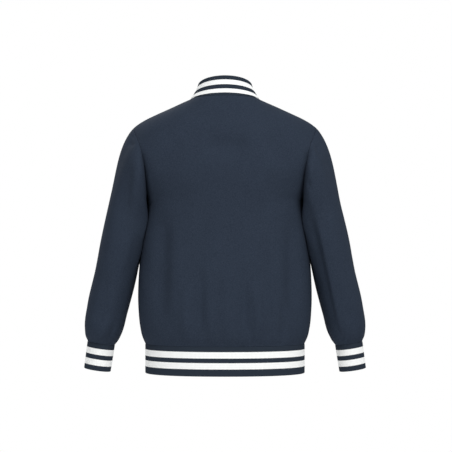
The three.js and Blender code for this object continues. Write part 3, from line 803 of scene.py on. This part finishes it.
def cloth_faces(rows, columns, closed):
    """Corners of a wall's faces as (row, column, layer), with layer 0 outside and 1 inside."""
    spans = columns if closed else columns - 1
    r, c = [index.ravel() for index in np.meshgrid(np.arange(rows - 1), np.arange(spans), indexing="ij")]
    outer = [(r, c, 0), (r, c + 1, 0), (r + 1, c + 1, 0), (r + 1, c, 0)]
    inner = [(r, c, 1), (r + 1, c, 1), (r + 1, c + 1, 1), (r, c + 1, 1)]
    c, last = np.arange(spans), rows - 1
    first_rim = [(0 * c, c, 1), (0 * c, c + 1, 1), (0 * c, c + 1, 0), (0 * c, c, 0)]
    top = 0 * c + last
    last_rim = [(top, c, 0), (top, c + 1, 0), (top, c + 1, 1), (top, c, 1)]
    sides = [outer, inner, first_rim, last_rim]
    if not closed:
        r = np.arange(rows - 1)
        start, end = 0 * r, 0 * r + columns - 1
        sides.append([(r, start, 1), (r, start, 0), (r + 1, start, 0), (r + 1, start, 1)])
        sides.append([(r, end, 0), (r, end, 1), (r + 1, end, 1), (r + 1, end, 0)])
    corners = []
    for side in sides:
        parts = [np.stack(np.broadcast_arrays(*corner), axis=1) for corner in side]
        corners.append(np.stack(parts, axis=1))
    return np.concatenate(corners)


def add_mesh(name, vertices, faces, material):
    mesh = bpy.data.meshes.new(name)
    mesh.from_pydata((vertices * MILLIMETRE).tolist(), [], faces.tolist())
    mesh.materials.append(material)
    mesh.polygons.foreach_set("use_smooth", np.ones(len(faces), bool))
    mesh.update()
    piece = bpy.data.objects.new(name, mesh)
    bpy.context.scene.collection.objects.link(piece)
    return piece


def enclosed_volume(vertices, faces):
    a, b, c, d = (vertices[faces[:, k]] for k in range(4))
    return ((np.cross(a, b) * c).sum() + (np.cross(a, c) * d).sum()) / 6


def cloth_wall(name, grid, half, closed, material, along):
    """A wall about a grid, half its thickness to each side. Its UVs are a length across and along."""
    rows, columns = grid.shape[:2]
    normals = grid_normals(grid, closed)
    offset = normals * half[..., None]
    vertices = np.concatenate([(grid + offset).reshape(-1, 3), (grid - offset).reshape(-1, 3)])
    corners = cloth_faces(rows, columns, closed)
    r, c, layer = corners[..., 0], corners[..., 1], corners[..., 2]
    faces = layer * rows * columns + r * columns + c % columns
    if enclosed_volume(vertices, faces) < 0:
        faces, r, c = faces[:, ::-1], r[:, ::-1], c[:, ::-1]
    piece = add_mesh(name, vertices, faces, material)
    ring = np.concatenate([grid[0], grid[0][:1]]) if closed else grid[0]
    across = lengths_along(ring) * MILLIMETRE
    uv = np.stack([across[c], along[r, c % columns]], axis=-1)
    layer_uv = piece.data.uv_layers.new(name=UV_MAP)
    layer_uv.uv.foreach_set("vector", uv.astype(np.float32).ravel())
    return piece


def felt_piece(name, grid, closed, material):
    half = FELT / 2 * edge_rounding(edge_distance(grid, closed), 1.5, 0.35)
    return cloth_wall(name, grid, half, closed, material, lengths_along(grid) * MILLIMETRE)


def rib_piece(name, grid, closed, material, stripes):
    """A band of rib, folded double, so that its free edge is round. It thins where it is tucked in."""
    past_seam = lengths_along(grid)
    from_seam = past_seam - past_seam[len(TUCKED_ROWS)]
    half = RIB / 2 * edge_rounding(edge_distance(grid, closed), RIB / 2, 0.12)
    half = half * edge_rounding(from_seam, RIB / 2, 0.35)
    relief = RIB_RELIEF * np.cos(np.arange(grid.shape[1]) * 2 * math.pi / COLUMNS_PER_RIB)
    half = half * (1 + relief / RIB)
    to_free_edge = past_seam[-1] - past_seam
    return cloth_wall(name, grid, half, closed, material, to_free_edge / sum(stripes))


def cut_size(grid, closed=False):
    """(width, length) of the rectangle that a grid's cloth is cut from, in metres."""
    joined = np.concatenate([grid, grid[:, :1]], axis=1) if closed else grid
    width = lengths_along(joined.swapaxes(0, 1))[-1].max()
    length = lengths_along(grid)[-1].max()
    return width * MILLIMETRE, length * MILLIMETRE


# ---------------- materials

FELT_COLOURS = {"dark": (0.0178, 0.0251, 0.0400), "light": (0.0274, 0.0374, 0.0564)}
RIB_NAVY = (0.0212, 0.0288, 0.0416)
RIB_WHITE = (0.86, 0.87, 0.865)
ENAMEL_NAVY = (0.024, 0.032, 0.046)
Finish = namedtuple("Finish", "roughness specular")
CLOTH_FINISH = Finish(0.95, 0.06)


def new_material(name, finish):
    material = bpy.data.materials.new(name)
    material.use_nodes = True
    shader = material.node_tree.nodes["Principled BSDF"]
    shader.inputs["Roughness"].default_value = finish.roughness
    shader.inputs["Specular IOR Level"].default_value = finish.specular
    return material, material.node_tree, shader


def add_node(tree, kind, **settings):
    node = tree.nodes.new(kind)
    for key, value in settings.items():
        setattr(node, key, value)
    return node


def object_place(tree):
    return add_node(tree, "ShaderNodeTexCoord").outputs["Object"]


def noise(tree, coordinates, scale, detail, roughness=0.6):
    """A noise texture with grains that many to the metre."""
    node = add_node(tree, "ShaderNodeTexNoise")
    node.inputs["Scale"].default_value = scale
    node.inputs["Detail"].default_value = detail
    node.inputs["Roughness"].default_value = roughness
    tree.links.new(coordinates, node.inputs["Vector"])
    return node.outputs["Fac"]


def calculate(tree, operation, first, second=None):
    node = add_node(tree, "ShaderNodeMath", operation=operation)
    for socket, value in zip(node.inputs, (first, second)):
        if value is None:
            continue
        if isinstance(value, (int, float)):
            socket.default_value = value
        else:
            tree.links.new(value, socket)
    return node.outputs["Value"]


def ramp(tree, value, stops, interpolation="LINEAR"):
    """A colour ramp with stops of (place, colour)."""
    node = add_node(tree, "ShaderNodeValToRGB")
    node.color_ramp.interpolation = interpolation
    elements = node.color_ramp.elements
    while len(elements) < len(stops):
        elements.new(1)
    for element, (place, colour) in zip(elements, stops):
        element.position = place
        element.color = (*colour, 1)
    tree.links.new(value, node.inputs["Fac"])
    return node.outputs["Color"]


def shaded(tree, colour, amount, low, high):
    """A colour made lighter and darker by an amount from 0 to 1."""
    factor = add_node(tree, "ShaderNodeMapRange")
    factor.inputs["To Min"].default_value = low
    factor.inputs["To Max"].default_value = high
    tree.links.new(amount, factor.inputs["Value"])
    scaled = add_node(tree, "ShaderNodeVectorMath", operation="SCALE")
    tree.links.new(colour, scaled.inputs[0])
    tree.links.new(factor.outputs["Result"], scaled.inputs["Scale"])
    return scaled.outputs["Vector"]


def bump(tree, height, shader, strength, distance):
    node = add_node(tree, "ShaderNodeBump")
    node.inputs["Strength"].default_value = strength
    node.inputs["Distance"].default_value = distance
    tree.links.new(height, node.inputs["Height"])
    tree.links.new(node.outputs["Normal"], shader.inputs["Normal"])


def felt_material():
    """Matte navy felted cloth: fine paler and darker fibres, faint clouding and a short nap."""
    material, tree, shader = new_material("felt_navy", CLOTH_FINISH)
    place = object_place(tree)
    speckle = noise(tree, place, 430, 3, 0.75)
    fibres = noise(tree, place, 1500, 2)
    clouds = noise(tree, place, 16, 2)
    colour = ramp(tree, speckle, [(0.36, FELT_COLOURS["dark"]), (0.64, FELT_COLOURS["light"])])
    colour = shaded(tree, colour, clouds, 0.93, 1.07)
    colour = shaded(tree, colour, fibres, 0.9, 1.1)
    tree.links.new(colour, shader.inputs["Base Color"])
    nap = calculate(tree, "ADD", speckle, calculate(tree, "MULTIPLY", fibres, 0.5))
    bump(tree, nap, shader, 0.35, 0.0006)
    return material


def rib_coordinates(tree):
    """(length across the ribs in metres, length from the free edge as a share of all the stripes)."""
    uv = add_node(tree, "ShaderNodeUVMap", uv_map=UV_MAP)
    parts = add_node(tree, "ShaderNodeSeparateXYZ")
    tree.links.new(uv.outputs["UV"], parts.inputs["Vector"])
    return parts.outputs["X"], parts.outputs["Y"]


def stripe_stops(stripes):
    """Ramp stops for stripes of these widths, navy first and then white and navy in turn."""
    total = sum(stripes)
    starts = [sum(stripes[:i]) / total for i in range(len(stripes))]
    return [(start, RIB_WHITE if i % 2 else RIB_NAVY) for i, start in enumerate(starts)]


def rib_material(name, stripes):
    """Rib knit with stripes along the band, whose edges step a little from rib to rib, and painted shade that
    darkens the grooves between the ribs.
    """
    material, tree, shader = new_material(name, CLOTH_FINISH)
    across, up = rib_coordinates(tree)
    ribs = calculate(tree, "MULTIPLY", across, 2 * math.pi / (RIB_PITCH * MILLIMETRE))
    wave = calculate(tree, "COSINE", ribs)
    stepped = calculate(tree, "ADD", up, calculate(tree, "MULTIPLY", wave, 0.25 / sum(stripes)))
    colour = ramp(tree, stepped, stripe_stops(stripes), "CONSTANT")
    place = object_place(tree)
    fuzz = noise(tree, place, 900, 3, 0.7)
    colour = shaded(tree, colour, fuzz, 0.94, 1.06)
    # Painted shade: the colour is darkened in the grooves between the ribs and a little lightened on their
    # crests.
    painted_groove_shade = calculate(tree, "ADD", calculate(tree, "MULTIPLY", wave, 0.5), 0.5)
    colour = shaded(tree, colour, painted_groove_shade, 0.94, 1.03)
    tree.links.new(colour, shader.inputs["Base Color"])
    rows = calculate(tree, "MULTIPLY", up, 2 * math.pi * sum(stripes) / 1.9)
    slant = calculate(tree, "MULTIPLY", calculate(tree, "ABSOLUTE", calculate(tree, "SINE", ribs)), 2.2)
    loops = calculate(tree, "COSINE", calculate(tree, "ADD", rows, slant))
    height = calculate(tree, "ADD", calculate(tree, "MULTIPLY", loops, 0.35), fuzz)
    bump(tree, height, shader, 0.4, 0.0005)
    return material


def snap_material():
    """Satin navy enamel, a little worn to a lighter tone."""
    material, tree, shader = new_material("snap_enamel", Finish(0.34, 0.5))
    shader.inputs["Coat Weight"].default_value = 0.3
    shader.inputs["Coat Roughness"].default_value = 0.2
    place = object_place(tree)
    worn = noise(tree, place, 900, 4)
    lighter = tuple(1.5 * value for value in ENAMEL_NAVY)
    colour = ramp(tree, worn, [(0.45, ENAMEL_NAVY), (0.7, lighter)])
    tree.links.new(colour, shader.inputs["Base Color"])
    bump(tree, noise(tree, place, 2500, 2), shader, 0.08, 0.0002)
    return material


def snap_back_material():
    """Bare nickel of the snap's inner half."""
    material, tree, shader = new_material("snap_nickel", Finish(0.3, 0.5))
    shader.inputs["Metallic"].default_value = 1.0
    place = object_place(tree)
    brushed = noise(tree, place, 1200, 4)
    colour = ramp(tree, brushed, [(0.3, (0.42, 0.41, 0.39)), (0.7, (0.58, 0.57, 0.54))])
    tree.links.new(colour, shader.inputs["Base Color"])
    bump(tree, brushed, shader, 0.05, 0.0002)
    return material


def floor_material():
    material, tree, shader = new_material("floor_pale", Finish(0.9, 0.2))
    place = object_place(tree)
    colour = ramp(tree, noise(tree, place, 3, 3), [(0.3, (0.80, 0.80, 0.80)), (0.7, (0.83, 0.83, 0.83))])
    tree.links.new(colour, shader.inputs["Base Color"])
    return material


# ---------------- pieces


def dress(piece, node):
    """The piece stands for a CAD node: it is attached to the root body and the node's CAD part is hidden."""
    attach(piece, "root")
    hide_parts(node)


def lay_out_sheet(grid, closed):
    """Works out the width and length of a piece's flat cut, and does nothing more with them."""
    width, length = cut_size(grid, closed)


def build_felt(name, grid, flat_grid, closed, material):
    piece = felt_piece(name, grid, closed, material)
    dress(piece, name)
    lay_out_sheet(flat_grid, closed)


def build_rib(name, grid, onward, closed, stripes, material):
    """Onward is the way past the band's seam, in which its edge is tucked behind the felt."""
    piece = rib_piece(name, tucked(grid, onward, closed), closed, material, stripes)
    dress(piece, name)
    lay_out_sheet(grid, closed)


def build_body(felt):
    """Builds the back and the fronts, and returns the smooth panels that the armholes are taken from."""
    shares, row_shares = panel_shares()
    back = back_grid(shares, row_shares)
    left = front_grid(shares, row_shares, 1)
    right = mirrored(front_grid(shares, row_shares, -1))
    build_felt("back", creased_panel(back, BACK_FOLDS, 3, False), back, False, felt)
    build_felt("front_left", creased_panel(left, LEFT_FRONT_FOLDS, 5, True), left, False, felt)
    build_felt("front_right", creased_panel(right, RIGHT_FRONT_FOLDS, 8, True), right, False, felt)
    return back, left, len(row_shares["lower"]) - 1


def build_sleeves(felt, back, front, underarm_row):
    half_count = 60
    ring_points, ring_outward = armhole_ring(back, front, underarm_row, half_count)
    smooth = sleeve_grid(ring_points, ring_outward)
    left = creased_sleeve(smooth, LEFT_SLEEVE_BEHIND, LEFT_SLEEVE_BEFORE, 13)
    right = creased_sleeve(smooth, RIGHT_SLEEVE_BEHIND, RIGHT_SLEEVE_BEFORE, 21)
    build_felt("sleeve_left", left, smooth, True, felt)
    build_felt("sleeve_right", mirrored(right), smooth, True, felt)


def build_bands():
    band = rib_material("rib_band", BAND_STRIPES)
    collar = rib_material("rib_collar", COLLAR_STRIPES)
    cuffs = rib_material("rib_cuffs", CUFF_STRIPES)
    build_rib("hem_band", hem_grid(), UP, False, BAND_STRIPES, band)
    build_rib("collar", collar_grid(), -UP, False, COLLAR_STRIPES, collar)
    cuff = cuff_grid()
    up_arm = -down_arm(CUFF["tilt"], CUFF["forward"])
    build_rib("cuff_left", cuff, up_arm, True, CUFF_STRIPES, cuffs)
    build_rib("cuff_right", mirrored(cuff), mirrored(up_arm), True, CUFF_STRIPES, cuffs)


def lathe(name, profile, sides, material):
    """A turned piece about +Z from a profile of (radius, height), closed at both ends."""
    radius, height = np.array(profile, float).T
    turn = np.arange(sides) * 2 * math.pi / sides
    ring = np.stack([np.cos(turn), np.sin(turn)], axis=1)
    vertices = [np.concatenate([ring * r, np.full((sides, 1), h)], axis=1) for r, h in zip(radius, height)]
    faces = []
    for k in range(len(profile) - 1):
        for s in range(sides):
            after = (s + 1) % sides
            faces.append([k * sides + s, k * sides + after, (k + 1) * sides + after, (k + 1) * sides + s])
    return add_mesh(name, np.concatenate(vertices), np.array(faces), material)


CAP_PROFILE = [
    (0.02, 0), (0.93, 0), (1, 0.1), (1, 0.42), (0.95, 0.55), (0.87, 0.58), (0.8, 0.5),
    (0.74, 0.56), (0.6, 0.76), (0.4, 0.92), (0.2, 0.99), (0.02, 1),
]
BACK_PROFILE = [
    (0.02, 0), (0.95, 0), (1, 0.15), (1, 0.75), (0.92, 0.98), (0.8, 1), (0.72, 0.85),
    (0.66, 0.35), (0.3, 0.3), (0.26, 0.8), (0.18, 0.95), (0.02, 0.97),
]
SNAP_SIDES = 32


def snap_axis(points):
    """Direction in which a snap's CAD solid is thinnest, pointing to the front."""
    axis = np.linalg.svd(points - points.mean(axis=0), full_matrices=False)[2][-1]
    return Vector(axis if axis[1] < 0 else -axis)


def build_snap(node, profile, facing, material):
    """A snap's half where its CAD solid is, at its size. Facing is 1 outside and -1 inside the jacket."""
    points = np.array([v.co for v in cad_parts[node].data.vertices]) / MILLIMETRE
    axis = snap_axis(points)
    low, high = in_mm(node)
    heights = points @ np.array(axis)
    rise = heights.max() - heights.min()
    radius = (high.x - low.x) / 2
    sized = [(radius * share, rise * up) for share, up in profile]
    piece = lathe(f"{node}_fine", sized, SNAP_SIDES, material)
    middle = (low + high) / 2
    base = middle - axis * facing * (rise / 2)
    piece.rotation_mode = "QUATERNION"
    piece.rotation_quaternion = (axis * facing).to_track_quat("Z", "Y")
    piece.location = base * MILLIMETRE
    dress(piece, node)


def build_snaps():
    enamel = snap_material()
    nickel = snap_back_material()
    for node in sorted(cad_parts):
        if node.startswith("snap_cap"):
            build_snap(node, CAP_PROFILE, 1, enamel)
        if node.startswith("snap_back"):
            build_snap(node, BACK_PROFILE, -1, nickel)


# ---------------- stage, light and camera

STANDING_NECK_HEIGHT = 1.45
FLOOR_RADIUS = 3.0
CAMERA = {"aside": -0.0026, "distance": 4.24, "height": -0.3273, "lens": 131.4}
AMBIENT = 0.5
Light = namedtuple("Light", "name place size power")
LIGHTS = [
    Light("key", (-1.9, 3.0, 3.4), 2.4, 190),
    Light("fill", (2.6, 3.4, 0.4), 3.0, 42),
    Light("front", (1.4, -3.6, 2.2), 3.0, 130),
]


def build_floor():
    """A pale floor where a wearer of the jacket would stand."""
    bpy.ops.mesh.primitive_circle_add(
        vertices=128, radius=FLOOR_RADIUS, fill_type="NGON", location=(0, 0, -STANDING_NECK_HEIGHT)
    )
    floor = bpy.context.object
    floor.name = "floor"
    floor.data.materials.append(floor_material())


def build_lights(target):
    for light in LIGHTS:
        data = bpy.data.lights.new(light.name, "AREA")
        data.size = light.size
        data.energy = light.power
        lamp = bpy.data.objects.new(light.name, data)
        lamp.location = light.place
        lamp.rotation_euler = (target - lamp.location).to_track_quat("-Z", "Y").to_euler()
        lamp.visible_camera = False
        bpy.context.scene.collection.objects.link(lamp)


def build_world():
    """Even white light from all round, and a white backdrop for the camera."""
    world = bpy.data.worlds.new("studio")
    bpy.context.scene.world = world
    world.use_nodes = True
    tree = world.node_tree
    light = tree.nodes["Background"]
    light.inputs["Color"].default_value = (1, 1, 1, 1)
    light.inputs["Strength"].default_value = AMBIENT
    backdrop = add_node(tree, "ShaderNodeBackground")
    backdrop.inputs["Color"].default_value = (1, 1, 1, 1)
    backdrop.inputs["Strength"].default_value = 1.0
    seen = add_node(tree, "ShaderNodeLightPath").outputs["Is Camera Ray"]
    choice = add_node(tree, "ShaderNodeMixShader")
    tree.links.new(seen, choice.inputs["Fac"])
    tree.links.new(light.outputs["Background"], choice.inputs[1])
    tree.links.new(backdrop.outputs["Background"], choice.inputs[2])
    tree.links.new(choice.outputs["Shader"], tree.nodes["World Output"].inputs["Surface"])


def build_camera():
    """The camera stands level behind the jacket, at the height of its middle."""
    data = bpy.data.cameras.new("camera")
    data.lens = CAMERA["lens"]
    camera = bpy.data.objects.new("camera", data)
    camera.location = (CAMERA["aside"], CAMERA["distance"], CAMERA["height"])
    camera.rotation_euler = (math.pi / 2, 0, math.pi)
    bpy.context.scene.collection.objects.link(camera)
    bpy.context.scene.camera = camera


def build_stage():
    low, high = cad_bounds
    build_floor()
    build_lights((low + high) / 2)
    build_world()
    build_camera()
    bpy.context.scene.view_settings.view_transform = "Standard"


build_stage()
felt_cloth = felt_material()
build_sleeves(felt_cloth, *build_body(felt_cloth))
build_bands()
build_snaps()
